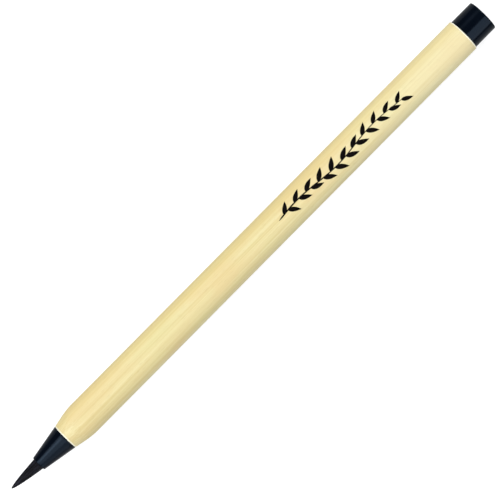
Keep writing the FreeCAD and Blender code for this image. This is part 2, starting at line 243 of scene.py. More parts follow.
def outline(corners):
    """A closed outline of (place along the pen, radius). A corner may name its round as a third
    value, and the number of steps in that round as a fourth."""
    points = []
    for index, corner in enumerate(corners):
        if len(corner) == 2:
            points.append(corner)
            continue
        before = corners[index - 1][:2]
        after = corners[(index + 1) % len(corners)][:2]
        points.extend(rounded(before, corner[:2], after, *corner[2:]))
    return points


def with_rings(points, longest):
    """The outline with its long sides divided, so that rings are no further apart than this."""
    divided = []
    for index, point in enumerate(points):
        following = points[(index + 1) % len(points)]
        count = max(1, math.ceil(abs(following[0] - point[0]) / longest))
        for step in range(count):
            share = step / count
            divided.append(
                (
                    point[0] + (following[0] - point[0]) * share,
                    point[1] + (following[1] - point[1]) * share,
                )
            )
    return divided


def turn_outline(shape, points, sides):
    """Turn a closed outline about the pen's axis, into an open bmesh."""
    rings = []
    for along, radius in points:
        if radius < 1e-7:
            rings.append([shape.verts.new((along, 0, AXIS_HEIGHT))])
            continue
        ring = []
        for side in range(sides):
            angle = 2 * math.pi * side / sides
            across = radius * math.sin(angle)
            up = radius * math.cos(angle)
            ring.append(shape.verts.new((along, across, AXIS_HEIGHT + up)))
        rings.append(ring)
    for ring, following in zip(rings, rings[1:] + rings[:1]):
        for side in range(sides):
            after = (side + 1) % sides
            if len(ring) == 1 and len(following) == 1:
                break
            if len(ring) == 1:
                shape.faces.new((ring[0], following[side], following[after]))
            elif len(following) == 1:
                shape.faces.new((ring[side], following[0], ring[after]))
            else:
                shape.faces.new((ring[side], following[side], following[after], ring[after]))


def finish_mesh(shape, name, crease_degrees=35):
    """Close a bmesh into a smooth mesh whose faces point outwards."""
    bmesh.ops.recalc_face_normals(shape, faces=shape.faces)
    mesh = bpy.data.meshes.new(name)
    shape.to_mesh(mesh)
    shape.free()
    mesh.shade_smooth()
    mesh.set_sharp_from_angle(angle=math.radians(crease_degrees))
    return mesh


# ---------------------------------------------------------------------------------------------------
# Material tools
# ---------------------------------------------------------------------------------------------------


class Shading:
    """A new material with its shader and its Object coordinates."""

    def __init__(self, name):
        self.material = bpy.data.materials.new(name)
        self.material.use_nodes = True
        self.tree = self.material.node_tree
        self.shader = self.tree.nodes["Principled BSDF"]
        self.place = self.add("ShaderNodeTexCoord").outputs["Object"]

    def add(self, kind, **values):
        """A node with some of its own properties set."""
        node = self.tree.nodes.new(kind)
        for name, value in values.items():
            setattr(node, name, value)
        return node

    def set(self, socket, value):
        """Link a socket, or set its value."""
        if isinstance(value, bpy.types.NodeSocket):
            self.tree.links.new(value, socket)
        elif hasattr(value, "__len__") and len(value) == 3 and len(socket.default_value) == 4:
            socket.default_value = (*value, 1)
        else:
            socket.default_value = value

    def stretched(self, scale, turn=(0, 0, 0), shift=(0, 0, 0)):
        """Object coordinates, scaled and turned."""
        mapping = self.add("ShaderNodeMapping")
        self.set(mapping.inputs["Vector"], self.place)
        self.set(mapping.inputs["Scale"], scale)
        self.set(mapping.inputs["Rotation"], turn)
        self.set(mapping.inputs["Location"], shift)
        return mapping.outputs["Vector"]

    def noise(self, place, scale=1.0, detail=2.0, roughness=0.5, distortion=0.0):
        """Soft noise between 0 and 1."""
        node = self.add("ShaderNodeTexNoise")
        self.set(node.inputs["Vector"], place)
        self.set(node.inputs["Scale"], scale)
        self.set(node.inputs["Detail"], detail)
        self.set(node.inputs["Roughness"], roughness)
        self.set(node.inputs["Distortion"], distortion)
        return node.outputs["Fac"]

    def between(self, value, low, high, to_low=0.0, to_high=1.0):
        """Map a range of values to another, with soft ends."""
        node = self.add("ShaderNodeMapRange", interpolation_type="SMOOTHSTEP")
        self.set(node.inputs["Value"], value)
        for name, number in (
            ("From Min", low),
            ("From Max", high),
            ("To Min", to_low),
            ("To Max", to_high),
        ):
            self.set(node.inputs[name], number)
        return node.outputs["Result"]

    def maths(self, operation, first, second):
        """One step of arithmetic."""
        node = self.add("ShaderNodeMath", operation=operation)
        self.set(node.inputs[0], first)
        self.set(node.inputs[1], second)
        return node.outputs["Value"]

    def blend(self, share, first, second):
        """A blend of two colours."""
        node = self.add("ShaderNodeMix", data_type="RGBA")
        colours = [socket for socket in node.inputs if socket.type == "RGBA"]
        self.set(node.inputs["Factor"], share)
        self.set(colours[0], first)
        self.set(colours[1], second)
        return next(socket for socket in node.outputs if socket.type == "RGBA")

    def bump(self, height, strength, distance):
        """Small relief."""
        node = self.add("ShaderNodeBump")
        self.set(node.inputs["Height"], height)
        self.set(node.inputs["Strength"], strength)
        self.set(node.inputs["Distance"], distance)
        self.set(self.shader.inputs["Normal"], node.outputs["Normal"])

    def finish(self, **values):
        """Set the shader's sockets and give the material."""
        for name, value in values.items():
            self.set(self.shader.inputs[name.replace("_", " ")], value)
        return self.material


# Tints of the wood, as linear colours. The last three are partly or wholly painted light.
WARM_WOOD = (0.70, 0.50, 0.23)
COOL_WOOD = (0.65, 0.62, 0.29)
PORE_WOOD = (0.47, 0.33, 0.14)
# Paler towards the tail: partly the wood's tint, partly painted light.
PALE_TINT_AND_PAINTED_LIGHT = (0.84, 0.77, 0.50)
# Lighter and more golden on the +Y side: partly the wood's tint, partly painted light.
GOLDEN_TINT_AND_PAINTED_LIGHT = (0.90, 0.71, 0.285)
# Painted highlight on the rounded end edges of the barrel.
PAINTED_EDGE_HIGHLIGHT = (0.89, 0.85, 0.67)
# A low index keeps the blacks deep and their reflections dim.
BLACK_IOR = 1.25


def make_wood(settings):
    """Pale close-grained wood, turned and sealed: long fine lines, short pores and soft patches. It
    is lighter and more golden on its +Y side and paler towards the tail, partly as the wood's tint
    and partly as painted light, and its end edges carry a painted highlight."""
    wood = Shading("pale_turned_wood")
    bands = wood.noise(wood.stretched((9, 480, 480), shift=(3, 5, 1)), detail=2)
    streaks = wood.noise(wood.stretched((13, 2100, 2100)), detail=3, roughness=0.65)
    fibres = wood.noise(wood.stretched((70, 8500, 8500)), detail=2)
    pores = wood.noise(wood.stretched((420, 6500, 6500), shift=(2, 9, 4)), detail=1)
    patches = wood.noise(wood.stretched((60, 170, 170), shift=(1, 0, 7)), detail=3)
    lines = wood.maths(
        "ADD", wood.between(streaks, 0.4, 0.62, 0, 0.46), wood.between(fibres, 0.35, 0.7, 0, 0.2)
    )
    grain = wood.maths("ADD", wood.between(bands, 0.4, 0.62, 0, 0.54), lines)
    parts = wood.add("ShaderNodeSeparateXYZ")
    wood.set(parts.inputs["Vector"], wood.place)
    along, across = parts.outputs["X"], parts.outputs["Y"]
    # The end edges get a painted highlight over their rounds.
    edge_highlight_reach = settings.edge_round * 1.7
    full_edge_highlight_reach = settings.edge_round * 1.1
    front = wood.between(along, BARREL_FRONT + edge_highlight_reach, BARREL_FRONT + full_edge_highlight_reach)
    rear = wood.between(along, BARREL_REAR - edge_highlight_reach, BARREL_REAR - full_edge_highlight_reach)
    colour = wood.blend(grain, settings.light_wood[:], settings.dark_wood[:])
    for share, tint in (
        (wood.between(patches, 0.46, 0.7, 0, 0.36), WARM_WOOD),
        (wood.between(patches, 0.5, 0.26, 0, 0.28), COOL_WOOD),
        (wood.between(pores, 0.62, 0.76, 0, 0.3), PORE_WOOD),
        # Paler towards the tail, partly painted light.
        (wood.between(along, 0, BARREL_REAR, 0, 0.33), PALE_TINT_AND_PAINTED_LIGHT),
        # Lighter and golden on the +Y side, partly painted light.
        (wood.between(across, 0.0008, 0.004, 0, 0.33), GOLDEN_TINT_AND_PAINTED_LIGHT),
        # Painted highlight on both end edges.
        (front, PAINTED_EDGE_HIGHLIGHT),
        (rear, PAINTED_EDGE_HIGHLIGHT),
    ):
        colour = wood.blend(share, colour, tint)
    relief = wood.maths(
        "ADD", wood.maths("MULTIPLY", fibres, 0.5), wood.maths("MULTIPLY", streaks, 0.5)
    )
    relief = wood.maths("SUBTRACT", relief, wood.between(pores, 0.62, 0.76, 0, 0.6))
    wood.bump(relief, 0.3, 0.00003)
    roughness = wood.between(fibres, 0.2, 0.8, 0.4, 0.54)
    return wood.finish(Base_Color=colour, Roughness=roughness, IOR=1.45)


def make_black_plastic(settings):
    """Polished black moulding, with a faint unevenness and fine handling marks."""
    plastic = Shading("black_moulded_plastic")
    flow = plastic.noise(plastic.stretched((260, 420, 420)), detail=2)
    marks = plastic.noise(plastic.stretched((500, 9000, 9000), turn=(0.3, 0.2, 0.5)), detail=3)
    unevenness = plastic.between(flow, 0.3, 0.7)
    colour = plastic.blend(unevenness, settings.black[:], (0.0014, 0.0026, 0.006))
    relief = plastic.maths("ADD", flow, plastic.maths("MULTIPLY", marks, 0.08))
    plastic.bump(relief, 0.12, 0.00002)
    roughness = plastic.between(marks, 0.35, 0.8, 0.13, 0.2)
    return plastic.finish(
        Base_Color=colour, Roughness=roughness, IOR=BLACK_IOR, Specular_Tint=(0.5, 0.72, 1.0)
    )


def make_bristle_material(settings):
    """Inked filaments: near black, with a painted sheen along them that varies from strand to
    strand.
    """
    strand = Shading("inked_filaments")
    strands = strand.noise(strand.stretched((120, 7000, 7000)), detail=2)
    clumps = strand.noise(strand.stretched((160, 2200, 2200)), detail=2)
    painted_sheen_strands = strand.between(strands, 0.3, 0.75, 0.4, 1)
    sheen = strand.maths("MULTIPLY", painted_sheen_strands, strand.between(clumps, 0.42, 0.6))
    # Painted sheen: some strands are lighter and bluer in the colour itself.
    colour = strand.blend(sheen, settings.ink[:], (0.012, 0.012, 0.024))
    roughness = strand.between(clumps, 0.35, 0.65, 0.5, 0.36)
    strand.bump(strand.maths("ADD", strands, clumps), 0.4, 0.00004)
    return strand.finish(Base_Color=colour, Roughness=roughness, IOR=BLACK_IOR)


def make_print_ink(settings):
    """Screen-printed ink, a little uneven over the grain."""
    ink = Shading("printed_ink")
    cover = ink.noise(ink.stretched((900, 2600, 2600)), detail=3)
    colour = ink.blend(ink.between(cover, 0.45, 0.85), settings.ink[:], (0.006, 0.004, 0.0035))
    ink.bump(cover, 0.2, 0.00001)
    roughness = ink.between(cover, 0.2, 0.8, 0.45, 0.65)
    return ink.finish(Base_Color=colour, Roughness=roughness, IOR=1.12)


def make_natural_plastic():
    """Milky plastic of the inner tubes, with faint flow marks."""
    plastic = Shading("milky_plastic")
    flow = plastic.noise(plastic.stretched((40, 500, 500)), detail=3)
    colour = plastic.blend(plastic.between(flow, 0.3, 0.7), (0.80, 0.81, 0.77), (0.70, 0.72, 0.70))
    plastic.bump(flow, 0.1, 0.00002)
    return plastic.finish(Base_Color=colour, Roughness=plastic.between(flow, 0.3, 0.7, 0.3, 0.42))


def make_fibre(name, light, dark):
    """Bonded or carded fibre, drawn out along X."""
    fibre = Shading(name)
    strands = fibre.noise(fibre.stretched((180, 6500, 6500)), detail=3, roughness=0.7)
    colour = fibre.blend(fibre.between(strands, 0.35, 0.7), dark, light)
    fibre.bump(strands, 0.6, 0.00005)
    return fibre.finish(Base_Color=colour, Roughness=fibre.between(strands, 0.3, 0.7, 0.75, 0.95))


def make_film():
    """Thin clear film with soft wrinkles."""
    film = Shading("clear_film")
    wrinkles = film.noise(film.stretched((120, 900, 900)), detail=3, distortion=0.4)
    colour = film.blend(film.between(wrinkles, 0.3, 0.7), (0.72, 0.76, 0.78), (0.60, 0.64, 0.67))
    film.bump(wrinkles, 0.4, 0.00004)
    roughness = film.between(wrinkles, 0.3, 0.7, 0.12, 0.25)
    return film.finish(Base_Color=colour, Roughness=roughness, Alpha=0.5)


# The floor's own glow, as the camera sees it and as it lights the pen.
FLOOR_GLOW = 0.74
FLOOR_GLOW_ON_PEN = 0.12


def make_floor_material():
    """Plain sweep, faintly mottled. It looks evenly white, and lights the pen only softly."""
    paper = Shading("white_sweep")
    mottle = paper.noise(paper.stretched((30, 30, 30)), detail=4)
    colour = paper.blend(mottle, (0.40, 0.40, 0.40), (0.43, 0.43, 0.43))
    seen = paper.add("ShaderNodeLightPath").outputs["Is Camera Ray"]
    return paper.finish(
        Base_Color=colour,
        Roughness=paper.between(mottle, 0.2, 0.8, 0.85, 0.95),
        Emission_Color=(1, 1, 1),
        Emission_Strength=paper.between(seen, 0, 1, FLOOR_GLOW_ON_PEN, FLOOR_GLOW),
    )


# ---------------------------------------------------------------------------------------------------
# Barrel, front cone and tail plug
# ---------------------------------------------------------------------------------------------------

BARREL_RING_GAP = 0.004
NOSE_RING_GAP = 0.001
GATE_MARK_SLOPE = 1.3


class BRUSH_PEN_OT_make_barrel(bpy.types.Operator):
    """Turn the wooden barrel"""

    bl_idname = "brush_pen.make_barrel"
    bl_label = "Barrel"

    def execute(self, context):
        settings = context.scene.pen_barrel
        edge = settings.edge_round
        corners = (
            (BARREL_FRONT, BORE_RADIUS),
            (BARREL_FRONT, NOSE_RADIUS, edge),
            (BARREL_FRONT + settings.taper_length, BARREL_RADIUS, settings.shoulder_radius, 14),
            (BARREL_REAR, BARREL_RADIUS, edge),
            (BARREL_REAR, BORE_RADIUS),
        )
        shape = bmesh.new()
        turn_outline(shape, with_rings(outline(corners), BARREL_RING_GAP), settings.sides)
        mesh = finish_mesh(shape, "barrel_wood")
        mesh.materials.append(make_wood(settings))
        piece = new_piece("barrel_wood", mesh)
        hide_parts("barrel")
        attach(piece, "pen")
        return {"FINISHED"}


class BRUSH_PEN_OT_make_cone(bpy.types.Operator):
    """Mould the front cone that holds the brush"""

    bl_idname = "brush_pen.make_cone"
    bl_label = "Front cone"

    def execute(self, context):
        settings = context.scene.pen_nose
        mouth_radius = MOUTH_BORE_RADIUS + settings.mouth_wall
        corners = (
            (MOUTH, MOUTH_BORE_RADIUS),
            (MOUTH, mouth_radius, settings.lip_round),
            (BARREL_FRONT, NOSE_RADIUS, settings.back_round),
            (BARREL_FRONT, SPIGOT_RADIUS),
            (SPIGOT_END, SPIGOT_RADIUS),
            (SPIGOT_END, SEAT_BORE_RADIUS),
            (SEAT, SEAT_BORE_RADIUS),
            (SEAT, MOUTH_BORE_RADIUS),
        )
        shape = bmesh.new()
        turn_outline(shape, with_rings(outline(corners), NOSE_RING_GAP), settings.sides)
        mesh = finish_mesh(shape, "front_cone_black")
        mesh.materials.append(make_black_plastic(settings))
        piece = new_piece("front_cone_black", mesh)
        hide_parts("front_cone")
        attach(piece, "pen")
        return {"FINISHED"}


class BRUSH_PEN_OT_make_plug(bpy.types.Operator):
    """Mould the tail plug"""

    bl_idname = "brush_pen.make_plug"
    bl_label = "Tail plug"

    def execute(self, context):
        settings = context.scene.pen_nose
        inner_radius = SPIGOT_RADIUS - settings.plug_wall
        inner_end = PLUG_END - settings.plug_end_wall
        gate_floor = PLUG_END - settings.gate_depth
        corners = (
            (PLUG_START, inner_radius),
            (PLUG_START, SPIGOT_RADIUS),
            (BARREL_REAR, SPIGOT_RADIUS),
            (BARREL_REAR, PLUG_RADIUS),
            (PLUG_END, PLUG_RADIUS, settings.end_round, 7),
            (PLUG_END, settings.gate_radius * GATE_MARK_SLOPE),
            (gate_floor, settings.gate_radius),
            (gate_floor, 0),
            (inner_end, 0),
            (inner_end, inner_radius),
        )
        shape = bmesh.new()
        turn_outline(shape, with_rings(outline(corners), NOSE_RING_GAP), settings.sides)
        mesh = finish_mesh(shape, "tail_plug_black")
        mesh.materials.append(make_black_plastic(settings))
        piece = new_piece("tail_plug_black", mesh)
        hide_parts("tail_plug")
        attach(piece, "pen")
        return {"FINISHED"}


# ---------------------------------------------------------------------------------------------------
# The brush
# ---------------------------------------------------------------------------------------------------

# How far a filament's place, depth and length may differ from the next one's, as shares.
PLACE_SPREAD = 0.4
LEAST_DEPTH = 0.955
LEAST_LENGTH = 0.93
# The wander of single filaments and the clumping of neighbours, both fullest at the point.
WANDER_WAVES = 9.0
WANDER = 0.035
CLUMPS = 11.0
CLUMP_TURN = 0.7
CLUMP_PULL = -0.05
CLUMP_DEPTH = 0.02
CORE_SIDES = 48
CREASE_DEGREES = 60
# Distances along the brush are taken from the cone's mouth to the point, so this one is inside the
# cone. The held stretch ends there and the stretch at the first bend begins.
HELD_END = -0.0004


class GeometryTree:
    """A geometry node tree and short ways to add to it."""

    def __init__(self, name):
        self.tree = bpy.data.node_groups.new(name, "GeometryNodeTree")
        self.tree.interface.new_socket("Geometry", in_out="OUTPUT", socket_type="NodeSocketGeometry")
        self.source = None
        self.identifiers = {}

    def inputs(self, **kinds):
        """Named inputs, each a float or an integer."""
        self.tree.interface.new_socket("Geometry", in_out="INPUT", socket_type="NodeSocketGeometry")
        for name, kind in kinds.items():
            label = name.replace("_", " ")
            socket = self.tree.interface.new_socket(label, in_out="INPUT", socket_type=kind)
            self.identifiers[name] = socket.identifier
        self.source = self.add("NodeGroupInput")
        return {name: self.source.outputs[name.replace("_", " ")] for name in kinds}

    def add(self, kind, **values):
        """A node with some of its own properties set."""
        node = self.tree.nodes.new(kind)
        for name, value in values.items():
            setattr(node, name, value)
        return node

    def set(self, socket, value):
        """Link a socket, or set its value."""
        if isinstance(value, bpy.types.NodeSocket):
            self.tree.links.new(value, socket)
        else:
            socket.default_value = value

    def maths(self, operation, *terms):
        """One step of arithmetic."""
        node = self.add("ShaderNodeMath", operation=operation)
        for socket, term in zip(node.inputs, terms):
            self.set(socket, term)
        return node.outputs["Value"]

    def random(self, low, high, number):
        """A random value for each filament, from the tree's seed and a number of its own."""
        node = self.add("FunctionNodeRandomValue", data_type="FLOAT")
        floats = [socket for socket in node.inputs if socket.type == "VALUE"]
        self.set(floats[0], low)
        self.set(floats[1], high)
        self.set(node.inputs["Seed"], self.maths("ADD", self.source.outputs["Seed"], number))
        return next(socket for socket in node.outputs if socket.type == "VALUE")

    def keep(self, geometry, kind, value):
        """Keep a value on each point of a geometry."""
        node = self.add("GeometryNodeCaptureAttribute", domain="POINT")
        node.capture_items.new(kind, "kept")
        self.set(node.inputs["Geometry"], geometry)
        self.set(node.inputs[1], value)
        return node.outputs["Geometry"], node.outputs[1]


def make_bundle_tree(material):
    """Filaments of one stretch of the brush. Each is a thin tube along the bundle's surface that
    gets thinner with the bundle and wanders a little, so that the filaments clump."""
    tree = GeometryTree("filament_bundle")
    given = tree.inputs(
        Filaments="NodeSocketInt",
        Sides="NodeSocketInt",
        Segments="NodeSocketInt",
        Mouth="NodeSocketFloat",
        Height="NodeSocketFloat",
        Length="NodeSocketFloat",
        Radius="NodeSocketFloat",
        Fullness="NodeSocketFloat",
        Point_Radius="NodeSocketFloat",
        Filament_Share="NodeSocketFloat",
        Lean="NodeSocketFloat",
        Stretch_Start="NodeSocketFloat",
        Stretch_End="NodeSocketFloat",
        Seed="NodeSocketInt",
    )
    tube = tree.add("GeometryNodeMeshCylinder", fill_type="NGON")
    tree.set(tube.inputs["Vertices"], given["Sides"])
    tree.set(tube.inputs["Side Segments"], given["Segments"])
    tree.set(tube.inputs["Radius"], 1.0)
    tree.set(tube.inputs["Depth"], 1.0)
    position = tree.add("GeometryNodeInputPosition").outputs["Position"]
    tube_mesh, tube_place = tree.keep(tube.outputs["Mesh"], "VECTOR", position)

    roots = tree.add("GeometryNodePoints")
    tree.set(roots.inputs["Count"], given["Filaments"])
    index = tree.add("GeometryNodeInputIndex").outputs["Index"]
    step = tree.maths("DIVIDE", 2 * math.pi, given["Filaments"])
    index = tree.maths("ADD", index, tree.random(-PLACE_SPREAD, PLACE_SPREAD, 1))
    angle = tree.maths("MULTIPLY", step, index)
    points, angle = tree.keep(roots.outputs["Points"], "FLOAT", angle)
    points, depth = tree.keep(points, "FLOAT", tree.random(LEAST_DEPTH, 1.0, 2))
    points, phase = tree.keep(points, "FLOAT", tree.random(0, 2 * math.pi, 3))
    points, ending = tree.keep(points, "FLOAT", tree.random(LEAST_LENGTH, 1.0, 4))

    placed = tree.add("GeometryNodeInstanceOnPoints")
    tree.set(placed.inputs["Points"], points)
    tree.set(placed.inputs["Instance"], tube_mesh)
    whole = tree.add("GeometryNodeRealizeInstances")
    tree.set(whole.inputs["Geometry"], placed.outputs["Instances"])

    parts = tree.add("ShaderNodeSeparateXYZ")
    tree.set(parts.inputs["Vector"], tube_place)
    share = tree.maths("ADD", parts.outputs["Z"], 0.5)
    own_end = tree.maths("MULTIPLY", given["Length"], ending)
    stretch_end = tree.maths("MINIMUM", given["Stretch_End"], own_end)
    stretch = tree.maths("SUBTRACT", stretch_end, given["Stretch_Start"])
    reach = tree.maths("ADD", given["Stretch_Start"], tree.maths("MULTIPLY", share, stretch))
    left = tree.maths("DIVIDE", tree.maths("SUBTRACT", given["Length"], reach), given["Length"])
    left = tree.maths("MINIMUM", tree.maths("MAXIMUM", left, 0.0), 1.0)
    bundle = tree.maths("MULTIPLY", given["Radius"], tree.maths("POWER", left, given["Fullness"]))
    bundle = tree.maths("MAXIMUM", bundle, given["Point_Radius"])
    thickness = tree.maths("MULTIPLY", bundle, given["Filament_Share"])

    outward = tree.maths("MAXIMUM", tree.maths("DIVIDE", reach, given["Length"]), 0.0)
    waves = tree.maths("MULTIPLY", outward, WANDER_WAVES)
    wander = tree.maths("SINE", tree.maths("ADD", waves, phase))
    lobes = tree.maths("MULTIPLY", angle, CLUMPS)
    clump = tree.maths("SINE", tree.maths("ADD", lobes, CLUMP_TURN))
    drift = tree.maths("MULTIPLY", wander, tree.maths("MULTIPLY", outward, WANDER))
    pull = tree.maths("MULTIPLY", clump, tree.maths("MULTIPLY", outward, CLUMP_PULL))
    turned = tree.maths("ADD", angle, tree.maths("ADD", drift, pull))
    sinking = tree.maths("MULTIPLY", outward, CLUMP_DEPTH)
    hollow = tree.maths("MULTIPLY", tree.maths("SUBTRACT", 1.0, clump), sinking)
    level = tree.maths("SUBTRACT", depth, hollow)
    off_axis = tree.maths("MULTIPLY", level, tree.maths("SUBTRACT", bundle, thickness))
    lean = tree.maths("MULTIPLY", given["Lean"], outward)

    along = tree.maths("SUBTRACT", given["Mouth"], reach)
    across = tree.maths("MULTIPLY", off_axis, tree.maths("SINE", turned))
    across = tree.maths("ADD", across, tree.maths("MULTIPLY", parts.outputs["X"], thickness))
    across = tree.maths("ADD", across, lean)
    up = tree.maths("MULTIPLY", off_axis, tree.maths("COSINE", turned))
    up = tree.maths("ADD", up, tree.maths("MULTIPLY", parts.outputs["Y"], thickness))
    up = tree.maths("ADD", up, given["Height"])
    place = tree.add("ShaderNodeCombineXYZ")
    tree.set(place.inputs["X"], along)
    tree.set(place.inputs["Y"], across)
    tree.set(place.inputs["Z"], up)
    moved = tree.add("GeometryNodeSetPosition")
    tree.set(moved.inputs["Geometry"], whole.outputs["Geometry"])
    tree.set(moved.inputs["Position"], place.outputs["Vector"])
    coloured = tree.add("GeometryNodeSetMaterial")
    coloured.inputs["Material"].default_value = material
    tree.set(coloured.inputs["Geometry"], moved.outputs["Geometry"])
    result = tree.add("NodeGroupOutput")
    tree.set(result.inputs["Geometry"], coloured.outputs["Geometry"])
    return tree


def bundle_radius(settings, reach):
    """The bundle's radius at a distance from the cone's mouth."""
    left = min(max((BRUSH_LENGTH - reach) / BRUSH_LENGTH, 0), 1)
    return max(BUNDLE_RADIUS * left**settings.fullness, settings.point_radius)


def bundle_lean(settings, reach):
    """How far the bundle's middle stands to one side at a distance from the cone's mouth."""
    return settings.lean * max(reach, 0) / BRUSH_LENGTH


def make_filaments(tree, settings, name, start, end, segments):
    """The filaments of one stretch, as a plain mesh."""
    carrier = bpy.data.objects.new(name, bpy.data.meshes.new(name))
    bpy.context.scene.collection.objects.link(carrier)
    modifier = carrier.modifiers.new("Filaments", "NODES")
    modifier.node_group = tree.tree
    values = {
        "Filaments": settings.filaments,
        "Sides": settings.sides,
        "Segments": segments,
        "Mouth": MOUTH,
        "Height": AXIS_HEIGHT,
        "Length": BRUSH_LENGTH,
        "Radius": BUNDLE_RADIUS,
        "Fullness": settings.fullness,
        "Point_Radius": settings.point_radius,
        "Filament_Share": settings.thickness,
        "Lean": settings.lean,
        "Stretch_Start": start,
        "Stretch_End": end,
        "Seed": settings.seed,
    }
    for key, value in values.items():
        modifier[tree.identifiers[key]] = value
    graph = bpy.context.evaluated_depsgraph_get()
    mesh = bpy.data.meshes.new_from_object(carrier.evaluated_get(graph))
    carrier.modifiers.clear()
    bpy.data.objects.remove(carrier)
    return mesh


def add_core(shape, settings, start, end, segments):
    """The packed filaments under those that show, over the same stretch."""
    rings = []
    for step in range(segments + 1):
        reach = start + (end - start) * step / segments
        radius = bundle_radius(settings, reach) * settings.core_share
        ring = []
        for side in range(CORE_SIDES):
            angle = 2 * math.pi * side / CORE_SIDES
            across = radius * math.sin(angle) + bundle_lean(settings, reach)
            up = AXIS_HEIGHT + radius * math.cos(angle)
            ring.append(shape.verts.new((MOUTH - reach, across, up)))
        rings.append(ring)
    for ring, following in zip(rings, rings[1:]):
        for side in range(CORE_SIDES):
            after = (side + 1) % CORE_SIDES
            shape.faces.new((ring[side], ring[after], following[after], following[side]))
    shape.faces.new(rings[0][::-1])
    shape.faces.new(rings[-1])


class BRUSH_PEN_OT_make_brush(bpy.types.Operator):
    """Grow the brush, one mesh for each bend"""

    bl_idname = "brush_pen.make_brush"
    bl_label = "Brush"

    def execute(self, context):
        settings = context.scene.pen_brush
        material = make_bristle_material(settings)
        tree = make_bundle_tree(material)
        bends = [MOUTH - bend for bend in BENDS]
        cuts = [HELD_END]
        for bend, following in zip(bends, bends[1:]):
            cuts.append((bend + following) / 2)
        cuts.append(BRUSH_LENGTH)
        stretches = [("brush_root", MOUTH - SEAT, HELD_END, 3, "bristle_root", None)]
        names = ("brush_belly", "brush_waist", "brush_taper", "brush_tip")
        nodes = ("bristle_belly", "bristle_waist", "bristle_taper", "bristle_point")
        for number, (name, node) in enumerate(zip(names, nodes)):
            segments = 12 if number in (0, 3) else 8
            stretches.append((name, cuts[number], cuts[number + 1], segments, node, number))
        for name, start, end, segments, node, bend in stretches:
            mesh = make_filaments(tree, settings, name, start, end, segments)
            shape = bmesh.new()
            shape.from_mesh(mesh)
            bpy.data.meshes.remove(mesh)
            add_core(shape, settings, start, end, segments)
            mesh = finish_mesh(shape, name, CREASE_DEGREES)
            mesh.materials.append(material)
            piece = new_piece(name, mesh)
            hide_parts(node)
            if bend is None:
                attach(piece, "pen")
                continue
            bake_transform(piece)
        return {"FINISHED"}


# ---------------------------------------------------------------------------------------------------
# The printed spray of leaves
# ---------------------------------------------------------------------------------------------------

STEM_STEPS = 90
STEM_SWINGS = 3.2
STEM_THINNING = 0.55
STEM_START = (0.25, 0.6, 0.85, 0.95)
# Places along the stem are shares of its length.
FIRST_PAIR = 0.045
PAIR_RANGE = 0.92
LARGEST_LEAF = 0.4
LEAF_SHRINK = 0.3
LEAF_CURL = 0.35
CURL_STEP = 1.7
# Side of the stem, how much further along it the leaf starts, and the angle at which it leaves.
LEAF_SIDES = ((1, 0.0, 0.62), (-1, 0.035, 0.55))
LEAF_TIP_WIDTH = 0.00004


def wrap(along, across, lift):
    """A point on the barrel, from its place along the pen and its distance round the barrel."""
    radius = BARREL_RADIUS + lift
    angle = across / BARREL_RADIUS
    return Vector((along, radius * math.sin(angle), AXIS_HEIGHT + radius * math.cos(angle)))


def add_stroke(shape, spine, widths, film, columns=4):
    """A printed stroke that follows a spine of (along, across) points, as a thin closed film."""
    layers = []
    for lift in (film, -film):
        rows = []
        for index, (along, across) in enumerate(spine):
            before = spine[max(index - 1, 0)]
            after = spine[min(index + 1, len(spine) - 1)]
            direction = Vector((after[0] - before[0], after[1] - before[1])).normalized()
            row = []
            for column in range(columns + 1):
                offset = widths[index] * (column / columns - 0.5)
                point = wrap(along - direction.y * offset, across + direction.x * offset, lift)
                row.append(shape.verts.new(point))
            rows.append(row)
        layers.append(rows)
    top, bottom = layers
    last = len(spine) - 1
    for row in range(last):
        for column in range(columns):
            for layer in layers:
                shape.faces.new(
                    (
                        layer[row][column],
                        layer[row + 1][column],
                        layer[row + 1][column + 1],
                        layer[row][column + 1],
                    )
                )
        for column in (0, columns):
            shape.faces.new(
                (
                    top[row][column],
                    top[row + 1][column],
                    bottom[row + 1][column],
                    bottom[row][column],
                )
            )
    for row in (0, last):
        for column in range(columns):
            shape.faces.new(
                (
                    top[row][column],
                    top[row][column + 1],
                    bottom[row][column + 1],
                    bottom[row][column],
                )
            )


def leaf_stroke(root, heading, length, width, curl, steps=12):
    """Spine and widths of a leaf that leaves its root at a heading and curls."""
    spine = []
    widths = []
    along, across = root
    for step in range(steps + 1):
        share = step / steps
        spine.append((along, across))
        fullness = math.sin(math.pi * share**0.75) ** 0.9 if 0 < share < 1 else 0
        widths.append(max(width * fullness, LEAF_TIP_WIDTH))
        turned = heading + curl * share
        along += math.cos(turned) * length / steps
        across += math.sin(turned) * length / steps
    return spine, widths


